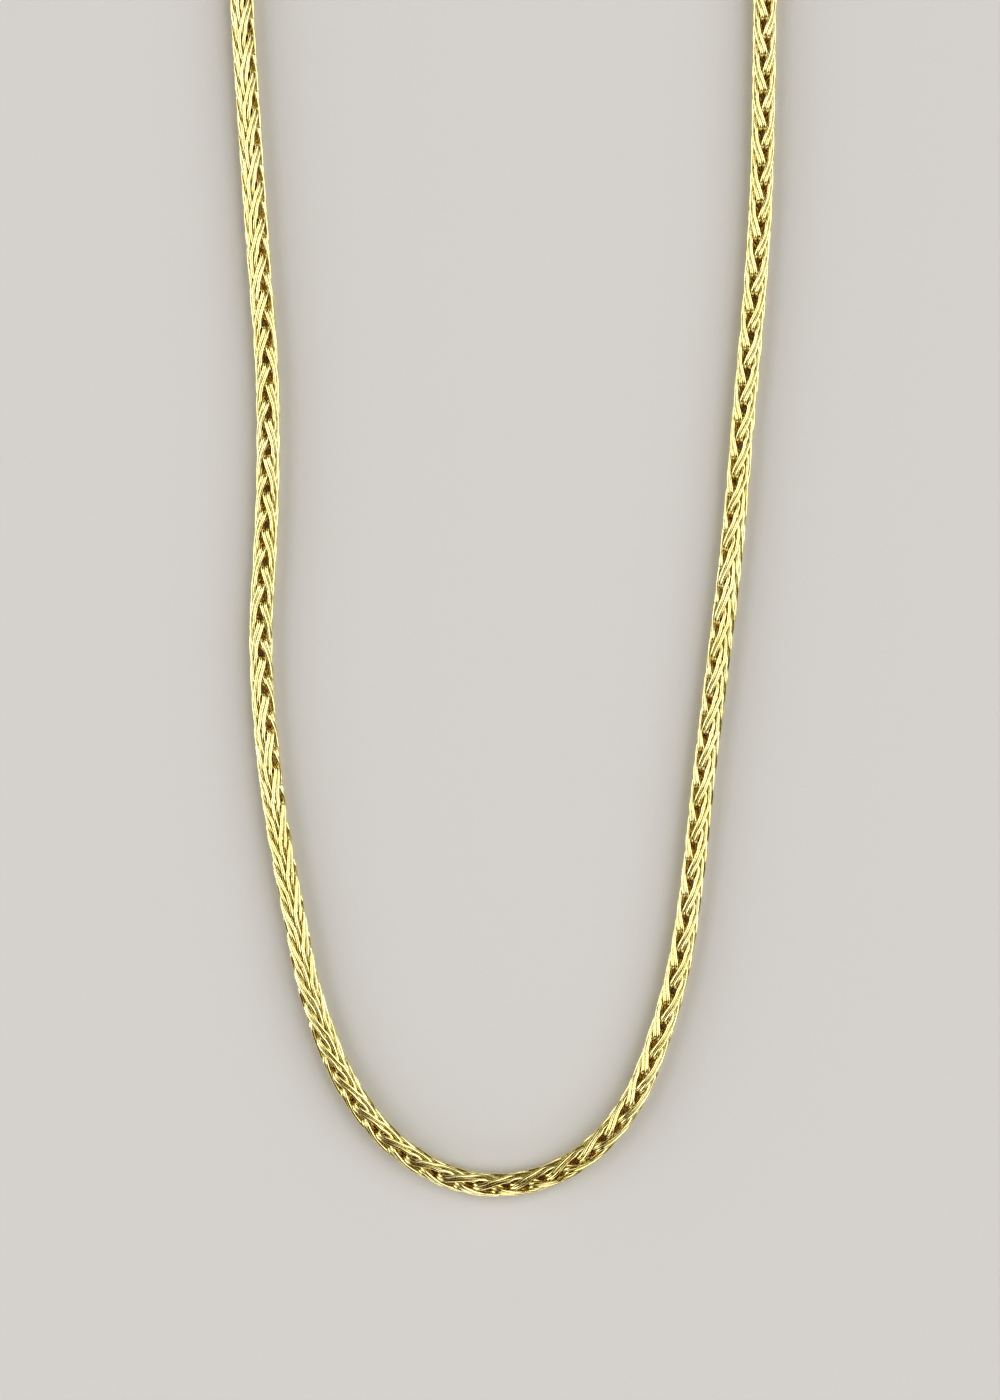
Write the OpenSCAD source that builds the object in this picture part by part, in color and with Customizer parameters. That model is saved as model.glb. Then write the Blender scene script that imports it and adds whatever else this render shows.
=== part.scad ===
// Braided chain necklace, lying flat as a closed loop. Millimetres, +Z up, the surface it lies on is z = 0.
// The braid is a two-way chain of small twisted links; here each half of it is one plain eight-sided tube of the
// braid's outer size, and a plain barrel clasp closes the loop at the top.

/* [Chain] */
// Width and height of the braid, flat to flat
chain_w = 2.4; // [2.2:0.1:2.6]
// Sides of the tube
tube_sides = 8; // [8:4:12]
// Length of the tube between two rings
ring_step = 6; // [6:0.5:8]

/* [Clasp] */
// Outer diameter of the barrel
clasp_d = 4.4; // [4.2:0.1:4.8]
// Length of the barrel
clasp_l = 16; // [15:0.5:17]
// Clearance round the braid's end
seat_gap = 0.15; // [0.1:0.05:0.2]
// Radius of the barrel's rounded ends
end_r = 0.3; // [0.1:0.05:0.3]
// Width of each fine groove round the barrel
groove_w = 0.5; // [0.3:0.1:0.8]
// Depth of each fine groove
groove_deep = 0.2; // [0.1:0.05:0.3]
// Distance of each groove from the barrel's end
groove_in = 3.2; // [3:0.1:4]

/* [Hidden] */

X = 0;
Y = 1;
LIFT = 2;

// Each row is x, y and lift. Lift runs from 0, lying on the surface, to 1, at the height of the clasp's axis.
// The left half runs from the clasp round the arch, down the left leg and to the middle of the bottom.
left_route = [
    [-0.8, 100.2, 1],
    [-4.4, 100.2, 1],
    [-8, 100.2, 1],
    [-12, 99.7, 0.8],
    [-16, 98, 0.45],
    [-19.5, 95, 0.15],
    [-22.2, 90.8, 0],
    [-24.4, 84, 0],
    [-25.8, 75, 0],
    [-26.5, 62, 0],
    [-26.6, 46, 0],
    [-26.4, 30, 0],
    [-26, 17, 0],
    [-25.2, 4, 0],
    [-24.3, -9, 0],
    [-23.5, -20, 0],
    [-23.4, -30, 0],
    [-23.7, -38, 0],
    [-24.1, -46, 0],
    [-23.7, -55, 0],
    [-22.5, -65, 0],
    [-20.6, -75, 0],
    [-19.1, -82, 0],
    [-16.1, -90, 0],
    [-11.7, -96.2, 0],
    [-6.4, -99.9, 0],
    [-1, -101.2, 0]
];
// The right half runs from the middle of the bottom up the right leg and round the arch to the clasp.
right_route = [
    [-1, -101.2, 0],
    [4.5, -100.3, 0],
    [9.3, -97.4, 0],
    [13.1, -92.7, 0],
    [15.7, -86.4, 0],
    [17.7, -79.2, 0],
    [19, -71, 0],
    [20.3, -59.5, 0],
    [21.8, -47.5, 0],
    [23.1, -36.5, 0],
    [24, -26, 0],
    [25.1, -14, 0],
    [25.8, -4.5, 0],
    [26.1, 4, 0],
    [26.3, 17, 0],
    [26.5, 30, 0],
    [26.6, 46, 0],
    [26.5, 62, 0],
    [25.8, 75, 0],
    [24.4, 84, 0],
    [22.2, 90.8, 0],
    [19.5, 95, 0.15],
    [16, 98, 0.45],
    [12, 99.7, 0.8],
    [8, 100.2, 1],
    [4.4, 100.2, 1],
    [0.8, 100.2, 1]
];

// Points beyond the shared end, so that both halves leave the middle of the bottom in the same direction
left_next = right_route[1];
right_before = left_route[len(left_route) - 2];

bend_z = chain_w / 2;
clasp_z = clasp_d / 2;
clasp_y = left_route[0][Y];
ring_r = chain_w / 2 / cos(180 / tube_sides);
bore_r = ring_r + seat_gap;
// Gap between each end of the braid and the floor of its seat
floor_gap = 0.3;
seat_l = clasp_l / 2 - (abs(left_route[0][X]) - floor_gap);

// A route row as a point in space
function place(row) = [row[X], row[Y], bend_z + row[LIFT] * (clasp_z - bend_z)];

// A point between b and c on the smooth curve through a, b, c and d, with t from 0 to 1
function on_curve(a, b, c, d, t) =
    0.5 * (2 * b + (c - a) * t + (2 * a - 5 * b + 4 * c - d) * t * t + (3 * (b - c) + d - a) * t * t * t);

// Number of rings on the stretch from b to c
function ring_count(b, c) = max(1, round(norm(c - b) / ring_step));

// The ring centres along points p, given the points just before and just after them
function centres(p, before, after) = let (q = concat([before], p, [after]))
    [for (i = [1 : len(q) - 3])
        let (n = ring_count(q[i], q[i + 1]))
            for (k = [0 : n - (i == len(q) - 3 ? 0 : 1)])
                on_curve(q[i - 1], q[i], q[i + 1], q[i + 2], k / n)];

function unit(v) = v / norm(v);

// The direction of the line at centre i, level at the two ends
function heading(c, i, first, last) =
    i == 0 ? first : i == len(c) - 1 ? last : unit(c[i + 1] - c[i - 1]);

// One ring of the tube round a centre, with a flat side down
function ring(centre, along) =
    let (side = unit(cross([0, 0, 1], along)), up = cross(along, side))
    [for (k = [0 : tube_sides - 1])
        let (a = 360 * (k + 0.5) / tube_sides)
            centre + ring_r * (cos(a) * side + sin(a) * up)];

// One closed tube through the centres c
module tube(c, first, last) {
    n = tube_sides;
    rings = len(c);
    points = [for (i = [0 : rings - 1]) each ring(c[i], heading(c, i, first, last))];
    sides = [for (i = [0 : rings - 2], k = [0 : n - 1])
        let (a = i * n + k, b = i * n + (k + 1) % n)
            each [[a, a + n, b], [b, a + n, b + n]]];
    start_cap = [for (k = [0 : n - 1]) k];
    end_cap = [for (k = [0 : n - 1]) (rings - 1) * n + n - 1 - k];
    polyhedron(points = points, faces = concat([start_cap], sides, [end_cap]), convexity = 10);
}

// The direction of both halves where they meet
bottom_along = unit(place(left_next) - place(right_before));

module chain_left() {
    route = [for (row = left_route) place(row)];
    color("gold")
        tube(centres(route, 2 * route[0] - route[1], place(left_next)), [-1, 0, 0], bottom_along);
}

module chain_right() {
    route = [for (row = right_route) place(row)];
    last = len(route) - 1;
    color("gold")
        tube(centres(route, place(right_before), 2 * route[last] - route[last - 1]), bottom_along, [-1, 0, 0]);
}

// Half the outline of the barrel, from its middle plane to one end, with a rounded edge
module half_outline() {
    difference() {
        union() {
            square([clasp_d / 2, clasp_l / 2 - end_r]);
            square([clasp_d / 2 - end_r, clasp_l / 2]);
            translate([clasp_d / 2 - end_r, clasp_l / 2 - end_r])
                circle(r = end_r, $fn = 24);
        }
        translate([clasp_d / 2 - groove_deep, clasp_l / 2 - groove_in - groove_w])
            square([clasp_d, groove_w]);
        translate([-1, clasp_l / 2 - seat_l])
            square([1 + bore_r, clasp_l]);
    }
}

module clasp() {
    color("gold")
        translate([0, clasp_y, clasp_z])
            rotate([0, 90, 0])
                rotate_extrude($fn = 64) {
                    half_outline();
                    mirror([0, 1])
                        half_outline();
                }
}

chain_left();
chain_right();
clasp();
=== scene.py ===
"""Looks of a braided chain necklace.

It is a fine two-way chain of twisted gold wire links, closed by a plain barrel clasp. The loop lies flat on
a pale floor and is seen from straight above. Blender lengths are metres, +Z up. The tables of the route and
of the link are in millimetres, and are multiplied by MM where they are used.
"""

from math import cos, pi, radians, sin

import bpy
import numpy as np
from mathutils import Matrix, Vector


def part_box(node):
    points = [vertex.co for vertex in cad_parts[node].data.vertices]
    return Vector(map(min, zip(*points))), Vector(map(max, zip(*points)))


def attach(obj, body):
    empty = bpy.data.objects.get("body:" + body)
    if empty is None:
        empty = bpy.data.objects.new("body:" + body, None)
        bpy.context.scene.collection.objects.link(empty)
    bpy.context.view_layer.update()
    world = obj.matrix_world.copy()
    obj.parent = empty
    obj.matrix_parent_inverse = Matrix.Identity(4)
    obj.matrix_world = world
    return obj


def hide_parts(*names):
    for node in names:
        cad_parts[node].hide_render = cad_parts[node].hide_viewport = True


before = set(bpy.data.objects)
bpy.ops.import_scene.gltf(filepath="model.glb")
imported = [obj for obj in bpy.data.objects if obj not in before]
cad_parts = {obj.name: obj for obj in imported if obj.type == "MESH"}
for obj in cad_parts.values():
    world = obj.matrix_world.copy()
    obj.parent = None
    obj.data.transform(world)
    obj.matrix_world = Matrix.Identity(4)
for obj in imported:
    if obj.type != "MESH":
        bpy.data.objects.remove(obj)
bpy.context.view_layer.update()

MM = 0.001

# Camera: straight above the part of the loop that the picture shows
VIEW_CENTRE = (-0.2 * MM, -52.7 * MM)
VIEW_LENGTH = 140 * MM  # what the picture's long side spans at the height of the braid's axis
LENS = 70  # mm
SENSOR = 36  # mm, along the picture's long side
NEAREST_SEEN = 0.01  # distance from the camera

# Route of the braid's axis. Columns: x, y, lift. Lift is 0 where the braid lies on the floor, and 1 where it
# is as high as the clasp's axis.
LEFT_ROUTE = [
    (-0.8, 100.2, 1),
    (-4.4, 100.2, 1),
    (-8, 100.2, 1),
    (-12, 99.7, 0.8),
    (-16, 98, 0.45),
    (-19.5, 95, 0.15),
    (-22.2, 90.8, 0),
    (-24.4, 84, 0),
    (-25.8, 75, 0),
    (-26.5, 62, 0),
    (-26.6, 46, 0),
    (-26.4, 30, 0),
    (-26, 17, 0),
    (-25.2, 4, 0),
    (-24.3, -9, 0),
    (-23.5, -20, 0),
    (-23.4, -30, 0),
    (-23.7, -38, 0),
    (-24.1, -46, 0),
    (-23.7, -55, 0),
    (-22.5, -65, 0),
    (-20.6, -75, 0),
    (-19.1, -82, 0),
    (-16.1, -90, 0),
    (-11.7, -96.2, 0),
    (-6.4, -99.9, 0),
    (-1, -101.2, 0),
]
RIGHT_ROUTE = [
    (4.5, -100.3, 0),
    (9.3, -97.4, 0),
    (13.1, -92.7, 0),
    (15.7, -86.4, 0),
    (17.7, -79.2, 0),
    (19, -71, 0),
    (20.3, -59.5, 0),
    (21.8, -47.5, 0),
    (23.1, -36.5, 0),
    (24, -26, 0),
    (25.1, -14, 0),
    (25.8, -4.5, 0),
    (26.1, 4, 0),
    (26.3, 17, 0),
    (26.5, 30, 0),
    (26.6, 46, 0),
    (26.5, 62, 0),
    (25.8, 75, 0),
    (24.4, 84, 0),
    (22.2, 90.8, 0),
    (19.5, 95, 0.15),
    (16, 98, 0.45),
    (12, 99.7, 0.8),
    (8, 100.2, 1),
    (4.4, 100.2, 1),
    (0.8, 100.2, 1),
]
ROUTE_STEPS = 60  # samples between two route points

# Turn of the braid about its own axis. Columns: distance along the route in mm, degrees.
# At 0 a pair of link ends shows on top, and a positive turn carries it towards the inner side of the loop.
TURNS = [
    (0, 60),
    (118, 60),
    (130, 30),
    (145, -15),
    (155, -5),
    (165, 18),
    (174, 45),
    (181, 84),
    (196, 96),
    (210, 148),
    (226, 160),
    (240, 180),
    (255, 197),
    (268, 210),
    (284, 220),
    (299, 245),
    (311, 205),
    (326, 195),
    (336, 180),
    (455, 180),
]
TURN_BLEND = 10  # mm over which one turning rate passes into the next

# One link, in its own axes: a runs across the braid through both of the link's bent ends, b across that, and
# the height runs along the braid. The pitch is the distance between two links of one column.
BRAID_RADIUS = 1.2 * MM
PITCH = 3.66 * MM
WIRE = 0.37 * MM
BASE_HALF = 0.159  # mm from each of the two base wires to the axis
EYE_SIDE = 0.167  # mm from the eye's plane to the axis
LINK_TOP = 2.13  # height of the eye in pitches
BRAID_START = WIRE / 2  # distance along the braid at which the first link's base wires lie


def on_rim(radius, degrees, height):
    """A wire point at that distance from the braid's axis, turned from a towards b."""
    return radius * cos(radians(degrees)), radius * sin(radians(degrees)), height


# Half of the link, as its wire runs. Columns: a and b in mm, height in pitches.
LEAD = [
    (0, BASE_HALF, 0),
    (0.416, BASE_HALF, 0),
    on_rim(0.86, 11, 0.04),
    on_rim(1.036, 20, 0.17),
    on_rim(1.045, 43.5, 0.48),
    on_rim(1.045, 62, 0.80),
    on_rim(1.036, 80, 1.12),
    (0.13, 0.953, 1.42),
    (EYE_SIDE, 0.74, 1.70),
    (EYE_SIDE, 0.527, 1.95),
]
EYE = [
    (EYE_SIDE, 0.37, 2.085),
    (EYE_SIDE, 0, LINK_TOP),
    (EYE_SIDE, -0.37, 2.085),
]
TRAIL = [
    (EYE_SIDE, -0.49, 1.97),
    (0.231, -0.259, 1.84),
    (0.435, 0.111, 1.69),
    (0.49, 0.379, 1.58),
    (0.49, 0.574, 1.46),
    (0.518, 0.796, 1.20),
    on_rim(1.027, 46, 0.88),
    on_rim(1.045, 26, 0.53),
    on_rim(1.036, 2, 0.20),
    on_rim(0.86, -10.5, 0.04),
    (0.416, -BASE_HALF, 0),
]
WIRE_SIDES = 10
WIRE_RINGS = 72
SPAN_STEPS = 40  # samples between two wire points
SPAN_POWER = 0.7  # how the spline's time between two points grows with their distance
CORNER = 0.9 * MM  # length of straight wire that takes as many rings as one radian of bend

# Easing, which moves a link's wire until it lies clear of itself and of its neighbours
EASE_POINTS = 288  # an even number
EASE_ROUNDS = 200
EASE_TO = 0.39 * MM  # distance between two wires' middles that the easing aims at
EASE_NEIGHBOURS = 4  # how many links ahead and behind a link can touch
EASE_BLEND = 4  # points on each side over which a push is spread
EASE_STEP = 1.2  # share of the spread push that one round takes
SAME_STRETCH = 3 * WIRE  # two points of one link that are closer than this along the wire don't push
RIM = 1.02 * MM  # distance from the braid's axis beyond which the wire's middle is drawn back

HALF_TURN = (-1, -1, 1)  # turns one half of the link about the braid's axis into the other
MIRROR = (1, -1, 1)  # turns a link into the next one's shape


def on_curve(a, b, c, d, t):
    """Points between b and c on the smooth curve through a, b, c and d, with t from 0 to 1."""
    return 0.5 * (2 * b + (c - a) * t + (2 * a - 5 * b + 4 * c - d) * t**2 + (3 * (b - c) + d - a) * t**3)


def unit(v):
    return v / np.linalg.norm(v, axis=-1, keepdims=True)


def route_line():
    """Distances along the braid's axis, and its points at those distances."""
    bend_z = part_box("chain_left")[0].z + BRAID_RADIUS
    clasp_low, clasp_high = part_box("clasp")
    clasp_z = (clasp_low.z + clasp_high.z) / 2
    rows = np.array(LEFT_ROUTE + RIGHT_ROUTE, float)
    p = np.c_[rows[:, 0] * MM, rows[:, 1] * MM, bend_z + rows[:, 2] * (clasp_z - bend_z)]
    p = np.vstack([2 * p[0] - p[1], p, 2 * p[-1] - p[-2]])
    t = np.linspace(0, 1, ROUTE_STEPS, endpoint=False)[:, None]
    spans = [on_curve(*p[i - 1 : i + 3], t) for i in range(1, len(p) - 2)]
    line = np.vstack([*spans, p[-2]])
    distance = np.r_[0, np.cumsum(np.linalg.norm(np.diff(line, axis=0), axis=1))]
    return distance, line


def smooth_turns(length):
    """Distances along the braid and its turn there in radians."""
    distance, degrees = np.array(TURNS, float).T
    fine = np.arange(0, length / MM, 1.0)
    reach = int(TURN_BLEND / 2)
    raw = np.interp(fine, distance, degrees)
    padded = np.pad(raw, reach, mode="edge")
    window = np.hanning(2 * reach + 3)[1:-1]
    return fine * MM, np.radians(np.convolve(padded, window / window.sum(), mode="valid"))


class Braid:
    """The braid's axis as a bent space.

    Places at a, b and a distance along the axis become points in the scene.
    """

    def __init__(self):
        self.distance, self.line = route_line()
        self.length = self.distance[-1]
        self.forward = unit(np.gradient(self.line, self.distance, axis=0))
        self.turn_distance, self.turn = smooth_turns(self.length)

    def along(self, values, distance):
        return np.stack([np.interp(distance, self.distance, v) for v in values.T], axis=-1)

    def bend(self, a, b, distance):
        centre = self.along(self.line, distance)
        forward = unit(self.along(self.forward, distance))
        left = unit(np.cross((0.0, 0.0, 1.0), forward))
        up = np.cross(forward, left)
        turn = np.interp(distance, self.turn_distance, self.turn)[:, None]
        a_axis = np.cos(turn) * up + np.sin(turn) * left
        b_axis = np.sin(turn) * up - np.cos(turn) * left
        return centre + a[:, None] * a_axis + b[:, None] * b_axis


def closed_spline(points):
    """A smooth closed curve: a cubic spline that keeps its slope and its bend at each of the points."""
    n = len(points)
    following = np.roll(points, -1, axis=0)
    step = np.linalg.norm(following - points, axis=1) ** SPAN_POWER
    matrix = np.zeros((n, n))
    target = np.zeros((n, 3))
    for i in range(n):
        last = i - 1
        matrix[i, last] = 1 / step[last]
        matrix[i, i] = 2 / step[last] + 2 / step[i]
        matrix[i, (i + 1) % n] = 1 / step[i]
        before = 3 * (points[i] - points[last]) / step[last] ** 2
        after = 3 * (following[i] - points[i]) / step[i] ** 2
        target[i] = before + after
    slope = np.linalg.solve(matrix, target)
    t = np.linspace(0, 1, SPAN_STEPS, endpoint=False)[:, None]
    spans = []
    for i in range(n):
        start = (2 * t**3 - 3 * t**2 + 1) * points[i] + (t**3 - 2 * t**2 + t) * step[i] * slope[i]
        end = (3 * t**2 - 2 * t**3) * following[i] + (t**3 - t**2) * step[i] * slope[(i + 1) % n]
        spans.append(start + end)
    return np.vstack(spans)


def spread_rings(curve, count, corner):
    """count points round the closed curve, closer together where it bends.

    One radian of bend takes as many of them as the length corner does on straight wire.
    """
    ends = np.vstack([curve, curve[:1]])
    piece = np.diff(ends, axis=0)
    length = np.linalg.norm(piece, axis=1)
    ahead = unit(piece)
    bend = np.arccos(np.clip((ahead * np.roll(ahead, 1, axis=0)).sum(axis=1), -1, 1))
    share = np.r_[0, np.cumsum(length + corner * (bend + np.roll(bend, -1)) / 2)]
    wanted = np.linspace(0, share[-1], count, endpoint=False)
    return np.stack([np.interp(wanted, share, v) for v in ends.T], axis=-1)


def ring_axes(curve):
    """Two directions across the closed curve at each point, with no more twist than closing it takes."""
    ahead = unit(np.roll(curve, -1, axis=0) - np.roll(curve, 1, axis=0))
    side = np.zeros_like(curve)
    side[0] = unit(np.cross(ahead[0], (0.0, 0.0, 1.0)))
    for i in range(1, len(curve)):
        side[i] = unit(side[i - 1] - side[i - 1] @ ahead[i] * ahead[i])
    last = unit(side[-1] - side[-1] @ ahead[0] * ahead[0])
    twist = np.arctan2(np.cross(last, side[0]) @ ahead[0], last @ side[0])
    turn = (twist * np.arange(len(curve)) / len(curve))[:, None]
    across = np.cross(ahead, side)
    side = side * np.cos(turn) + across * np.sin(turn)
    return side, np.cross(ahead, side)


def next_link(curve, count):
    """The wire of the link that follows count places later. Each second link is mirrored."""
    mirrored = curve * MIRROR if count % 2 else curve
    return mirrored + (0, 0, count * PITCH / 2)


def ease_apart(curve):
    """The same closed wire, moved a little where it would press into itself or into a neighbouring link."""
    wire = spread_rings(curve, EASE_POINTS, 0)
    step = np.linalg.norm(wire - np.roll(wire, 1, axis=0), axis=1).mean()
    steps = np.abs(np.subtract.outer(np.arange(EASE_POINTS), np.arange(EASE_POINTS)))
    same_stretch = np.minimum(steps, EASE_POINTS - steps) * step < SAME_STRETCH
    window = np.hanning(2 * EASE_BLEND + 3)[1:-1]
    window = window / window.sum()
    row = np.arange(EASE_POINTS)
    for _ in range(EASE_ROUNDS):
        push = np.zeros_like(wire)
        for count in range(-EASE_NEIGHBOURS, EASE_NEIGHBOURS + 1):
            apart = wire[:, None] - next_link(wire, count)
            gap = np.linalg.norm(apart, axis=2)
            if count == 0:
                gap[same_stretch] = np.inf
            nearest = gap.argmin(axis=1)
            least = gap[row, nearest]
            short = np.maximum(EASE_TO - least, 0)
            push += apart[row, nearest] * (short / np.maximum(least, WIRE / 10))[:, None] / 2
        reach = np.hypot(wire[:, 0], wire[:, 1])
        push[:, :2] -= wire[:, :2] * (np.maximum(reach - RIM, 0) / reach)[:, None]
        smooth = sum(w * np.roll(push, i - EASE_BLEND, axis=0) for i, w in enumerate(window))
        wire = wire + EASE_STEP * smooth
        wire = (wire + np.roll(wire, EASE_POINTS // 2, axis=0) * HALF_TURN) / 2
    return wire


def link_tube():
    """Vertices of one link's wire as a, b and height in metres, and its faces, which point outwards."""
    half = np.array(LEAD + EYE + TRAIL, float) * (MM, MM, PITCH)
    curve = ease_apart(closed_spline(np.vstack([half, half * HALF_TURN])))
    curve = spread_rings(curve, WIRE_RINGS, CORNER)
    side, across = ring_axes(curve)
    angle = np.arange(WIRE_SIDES) * 2 * pi / WIRE_SIDES
    round_wire = np.cos(angle)[:, None] * side[:, None] + np.sin(angle)[:, None] * across[:, None]
    vertices = (curve[:, None] + WIRE / 2 * round_wire).reshape(-1, 3)
    ring, spoke = np.divmod(np.arange(WIRE_RINGS * WIRE_SIDES), WIRE_SIDES)
    next_ring = (ring + 1) % WIRE_RINGS * WIRE_SIDES
    next_spoke = (spoke + 1) % WIRE_SIDES
    ring = ring * WIRE_SIDES
    faces = np.stack([ring + spoke, ring + next_spoke, next_ring + next_spoke, next_ring + spoke], axis=-1)
    return vertices, faces


def mesh_piece(name, vertices, faces, depth, material):
    """One mesh object of quads, shaded smooth. Depth is each vertex's distance from the braid's axis."""
    mesh = bpy.data.meshes.new(name)
    mesh.vertices.add(len(vertices))
    mesh.vertices.foreach_set("co", vertices.astype(np.float32).ravel())
    mesh.loops.add(faces.size)
    mesh.loops.foreach_set("vertex_index", faces.astype(np.int32).ravel())
    mesh.polygons.add(len(faces))
    mesh.polygons.foreach_set("loop_start", np.arange(0, faces.size, 4, dtype=np.int32))
    mesh.polygons.foreach_set("loop_total", np.full(len(faces), 4, np.int32))
    mesh.update(calc_edges=True)
    mesh.validate()
    mesh.attributes.new("depth", "FLOAT", "POINT").data.foreach_set("value", depth.astype(np.float32))
    mesh.shade_smooth()
    mesh.materials.append(material)
    piece = bpy.data.objects.new(name, mesh)
    bpy.context.scene.collection.objects.link(piece)
    return piece


def chain_piece(name, node, numbers, spacing, link, braid, material):
    """The links with those numbers, joined into one mesh that stands for a half of the braid."""
    tube, quads = link
    depth = np.tile(np.hypot(tube[:, 0], tube[:, 1]), len(numbers))
    vertices = []
    faces = []
    for count, number in enumerate(numbers):
        mirrored = number % 2 == 1
        b = -tube[:, 1] if mirrored else tube[:, 1]
        height = BRAID_START + number * spacing + tube[:, 2]
        vertices.append(braid.bend(tube[:, 0], b, height))
        faces.append((quads[:, ::-1] if mirrored else quads) + count * len(tube))
    piece = mesh_piece(name, np.vstack(vertices), np.vstack(faces), depth, material)
    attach(piece, "root")
    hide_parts(node)


GOLD = (1, 0.925, 0.55)
GOLD_DEEP = (0.95, 0.86, 0.44)  # slightly deeper, in small patches
PAINTED_SHADE_GOLD = (1, 0.68, 0.16)  # painted shade: a deep brownish gold that the wires take towards the braid's axis
SHADE_FULL_WITHIN = 0.2 * MM  # distance from the braid's axis within which the painted shade is full
SHADE_GONE_FROM = 0.9 * MM  # distance from which there is no painted shade
CHAIN_ROUGHNESS = 0.2
CLASP_ROUGHNESS = 0.4

# Noise in the gold. Scales are in cells per metre.
TONE_SCALE = 300
TONE_DETAIL = 3
TONE_LOW = 0.35  # noise value below which the tone is GOLD_DEEP
TONE_HIGH = 0.65  # noise value above which it is GOLD
PATCH_SCALE = 1800
PATCH_DETAIL = 4
PATCH_LOW = 0.3  # noise value below which the roughness is at its least
PATCH_HIGH = 0.7  # noise value above which it is at its most
LEAST_ROUGH = 0.75  # share of the mean roughness
MOST_ROUGH = 1.35  # share of the mean roughness
GRAIN_SCALE = 9000
GRAIN_DETAIL = 2
GRAIN_HEIGHT = 0.01 * MM
CHAIN_GRAIN = 0.1  # strength of the bump
CLASP_GRAIN = 0.08


def noise(nodes, links, place, scale, detail):
    """The values of a noise texture over the object's own axes."""
    texture = nodes.new("ShaderNodeTexNoise")
    texture.inputs["Scale"].default_value = scale
    texture.inputs["Detail"].default_value = detail
    links.new(place, texture.inputs["Vector"])
    return texture.outputs["Fac"]


def gold(name, roughness, grain):
    """Yellow gold with small patches that are a little deeper or duller, and a faint grain in its surface."""
    material = bpy.data.materials.new(name)
    material.use_nodes = True
    nodes = material.node_tree.nodes
    links = material.node_tree.links
    shader = nodes["Principled BSDF"]
    shader.inputs["Metallic"].default_value = 1
    place = nodes.new("ShaderNodeTexCoord").outputs["Object"]

    colours = nodes.new("ShaderNodeValToRGB")
    colours.color_ramp.elements[0].position = TONE_LOW
    colours.color_ramp.elements[0].color = (*GOLD_DEEP, 1)
    colours.color_ramp.elements[1].position = TONE_HIGH
    colours.color_ramp.elements[1].color = (*GOLD, 1)
    links.new(noise(nodes, links, place, TONE_SCALE, TONE_DETAIL), colours.inputs["Fac"])
    links.new(colours.outputs["Color"], shader.inputs["Base Color"])

    gloss = nodes.new("ShaderNodeMapRange")
    gloss.inputs["From Min"].default_value = PATCH_LOW
    gloss.inputs["From Max"].default_value = PATCH_HIGH
    gloss.inputs["To Min"].default_value = roughness * LEAST_ROUGH
    gloss.inputs["To Max"].default_value = roughness * MOST_ROUGH
    links.new(noise(nodes, links, place, PATCH_SCALE, PATCH_DETAIL), gloss.inputs["Value"])
    links.new(gloss.outputs["Result"], shader.inputs["Roughness"])

    bump = nodes.new("ShaderNodeBump")
    bump.inputs["Strength"].default_value = grain
    bump.inputs["Distance"].default_value = GRAIN_HEIGHT
    links.new(noise(nodes, links, place, GRAIN_SCALE, GRAIN_DETAIL), bump.inputs["Height"])
    links.new(bump.outputs["Normal"], shader.inputs["Normal"])
    return material


def paint_inner_shade(material):
    """Paints shade into the gold: it goes over into a deep brownish gold towards the braid's axis."""
    nodes = material.node_tree.nodes
    links = material.node_tree.links
    shader = nodes["Principled BSDF"]
    depth = nodes.new("ShaderNodeAttribute")
    depth.attribute_name = "depth"
    outside = nodes.new("ShaderNodeMapRange")
    outside.interpolation_type = "SMOOTHSTEP"
    outside.inputs["From Min"].default_value = SHADE_FULL_WITHIN
    outside.inputs["From Max"].default_value = SHADE_GONE_FROM
    links.new(depth.outputs["Fac"], outside.inputs["Value"])
    # painted shade: towards the braid's axis the base colour blends into a deep brownish gold
    blend = nodes.new("ShaderNodeMix")
    blend.data_type = "RGBA"
    factor, inner, outer = (s for s in blend.inputs if s.enabled)
    links.new(outside.outputs["Result"], factor)
    inner.default_value = (*PAINTED_SHADE_GOLD, 1)
    links.new(shader.inputs["Base Color"].links[0].from_socket, outer)
    links.new(next(s for s in blend.outputs if s.enabled), shader.inputs["Base Color"])


def make_camera():
    data = bpy.data.cameras.new("camera")
    data.lens = LENS
    data.sensor_width = SENSOR
    data.clip_start = NEAREST_SEEN
    camera = bpy.data.objects.new("camera", data)
    bpy.context.scene.collection.objects.link(camera)
    camera.location = (*VIEW_CENTRE, BRAID_RADIUS + VIEW_LENGTH * LENS / SENSOR)
    bpy.context.scene.camera = camera


# Lights, all far away. Columns: name, place, side of the square, brightness, colour. The brightness is what
# the light's face shows, in watts per square metre and steradian.
LIGHTS = [
    ("right_light", (14, 2.7, 14), 24, 1.4, (1, 1, 1)),
    ("left_light", (-18, 2.7, 12), 24, 1.4, (1, 1, 1)),
    ("near_light", (2, -20.5, 8.8), 12, 1.1, (1, 0.93, 0.93)),
]
LIT_POINT = (0, -0.04, 0)  # what all the lights face

# The room all round, by the sine of the angle above the horizon
WALL = (0.45, 0.44, 0.425)
WALL_TOP = 0.14
CEILING = (0.05, 0.037, 0.0225)
CEILING_FROM = 0.3

FLOOR_HALF = 60
FLOOR_COLOUR = (0.8, 0.792, 0.78)
FLOOR_ROUGHNESS = 0.9
FLOOR_SPECULAR = 0.2


def soft_light(name, place, size, brightness, colour):
    """A square area light that the camera doesn't see."""
    data = bpy.data.lights.new(name, "AREA")
    data.shape = "SQUARE"
    data.size = size
    data.energy = brightness * pi * size**2
    data.color = colour
    light = bpy.data.objects.new(name, data)
    bpy.context.scene.collection.objects.link(light)
    light.location = place
    light.rotation_mode = "QUATERNION"
    light.rotation_quaternion = (Vector(LIT_POINT) - Vector(place)).to_track_quat("-Z", "Y")
    light.visible_camera = False


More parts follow.
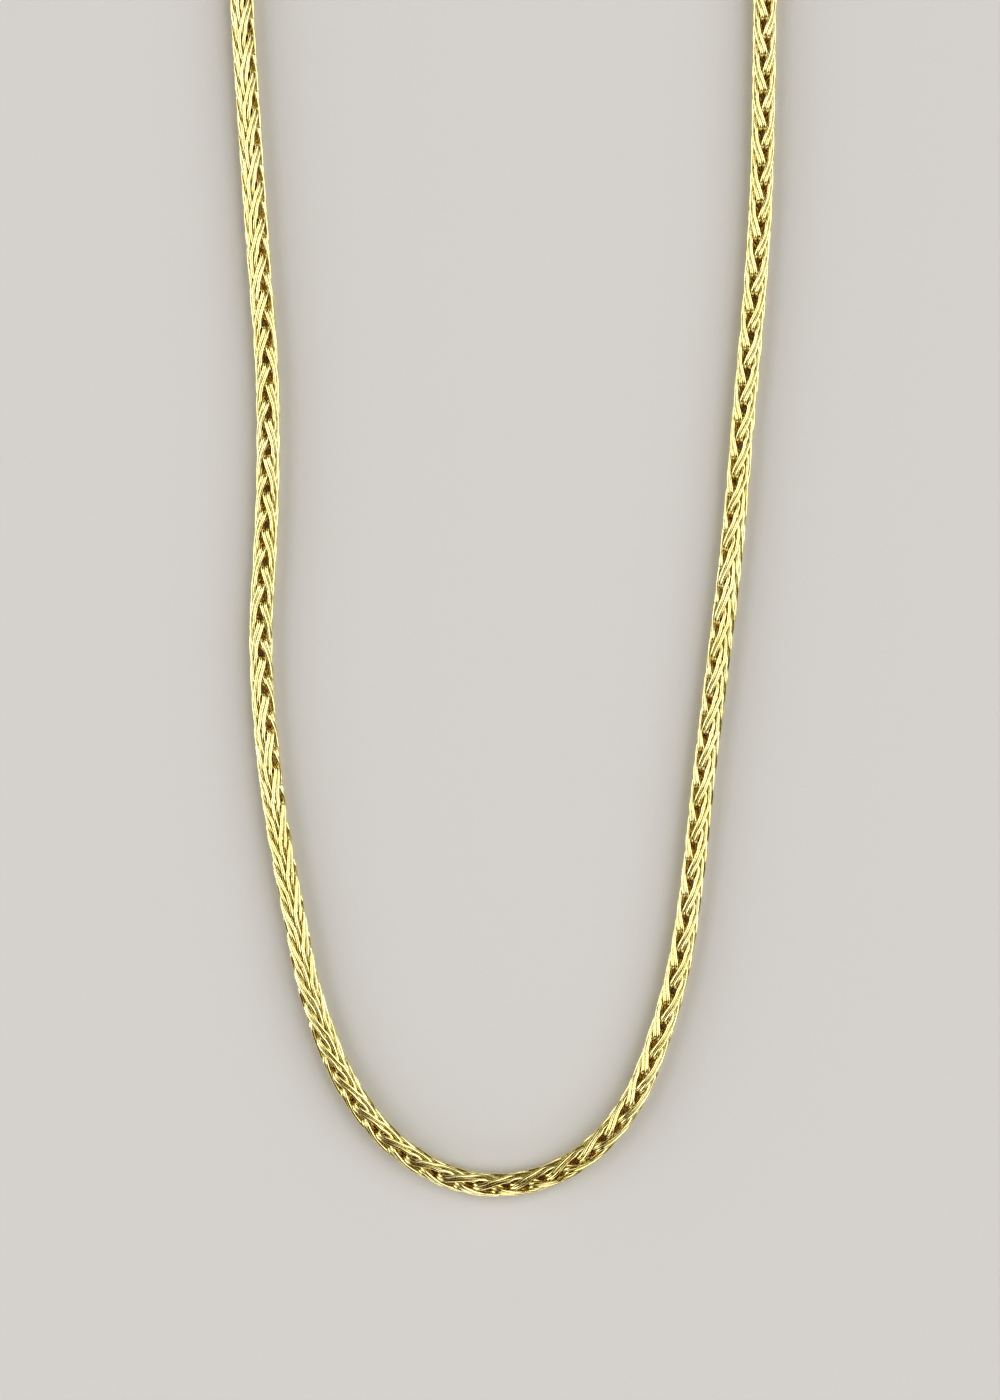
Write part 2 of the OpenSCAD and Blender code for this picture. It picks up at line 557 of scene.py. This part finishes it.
def make_walls():
    """A pale wall all round, low down, under a dark warm ceiling that the polished gold reflects."""
    world = bpy.data.worlds.new("studio")
    world.use_nodes = True
    nodes = world.node_tree.nodes
    links = world.node_tree.links
    towards = nodes.new("ShaderNodeTexCoord").outputs["Generated"]
    height = nodes.new("ShaderNodeSeparateXYZ")
    links.new(towards, height.inputs["Vector"])
    colours = nodes.new("ShaderNodeValToRGB")
    colours.color_ramp.interpolation = "EASE"
    colours.color_ramp.elements[0].position = WALL_TOP
    colours.color_ramp.elements[0].color = (*WALL, 1)
    colours.color_ramp.elements[1].position = CEILING_FROM
    colours.color_ramp.elements[1].color = (*CEILING, 1)
    links.new(height.outputs["Z"], colours.inputs["Fac"])
    links.new(colours.outputs["Color"], nodes["Background"].inputs["Color"])
    bpy.context.scene.world = world


def make_lights():
    for light in LIGHTS:
        soft_light(*light)
    make_walls()
    bpy.context.scene.view_settings.view_transform = "Standard"
    bpy.context.scene.view_settings.look = "High Contrast"


def make_floor():
    half = FLOOR_HALF
    corners = [(-half, -half, 0), (half, -half, 0), (half, half, 0), (-half, half, 0)]
    mesh = bpy.data.meshes.new("floor")
    mesh.from_pydata(corners, [], [(0, 1, 2, 3)])
    material = bpy.data.materials.new("pale_floor")
    material.use_nodes = True
    shader = material.node_tree.nodes["Principled BSDF"]
    shader.inputs["Base Color"].default_value = (*FLOOR_COLOUR, 1)
    shader.inputs["Roughness"].default_value = FLOOR_ROUGHNESS
    shader.inputs["Specular IOR Level"].default_value = FLOOR_SPECULAR
    mesh.materials.append(material)
    floor = bpy.data.objects.new("floor", mesh)
    bpy.context.scene.collection.objects.link(floor)


make_camera()
make_lights()
make_floor()

# The links lie evenly from end to end of the braid. The right half starts with the first link whose middle is
# past the last point of the left route.
braid = Braid()
room = braid.length - 2 * BRAID_START - LINK_TOP * PITCH
link_count = int(room / (PITCH / 2)) + 1
spacing = room / (link_count - 1)
left_length = braid.distance[(len(LEFT_ROUTE) - 1) * ROUTE_STEPS]
first_right = int(np.ceil((left_length - BRAID_START - LINK_TOP * PITCH / 2) / spacing))

chain_gold = gold("chain_gold", CHAIN_ROUGHNESS, CHAIN_GRAIN)
# painted shade on the wires near the braid's axis
paint_inner_shade(chain_gold)
link = link_tube()
left_numbers = range(first_right)
right_numbers = range(first_right, link_count)
chain_piece("left_links", "chain_left", left_numbers, spacing, link, braid, chain_gold)
chain_piece("right_links", "chain_right", right_numbers, spacing, link, braid, chain_gold)

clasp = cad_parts["clasp"]
clasp.data.materials.clear()
clasp.data.materials.append(gold("clasp_gold", CLASP_ROUGHNESS, CLASP_GRAIN))
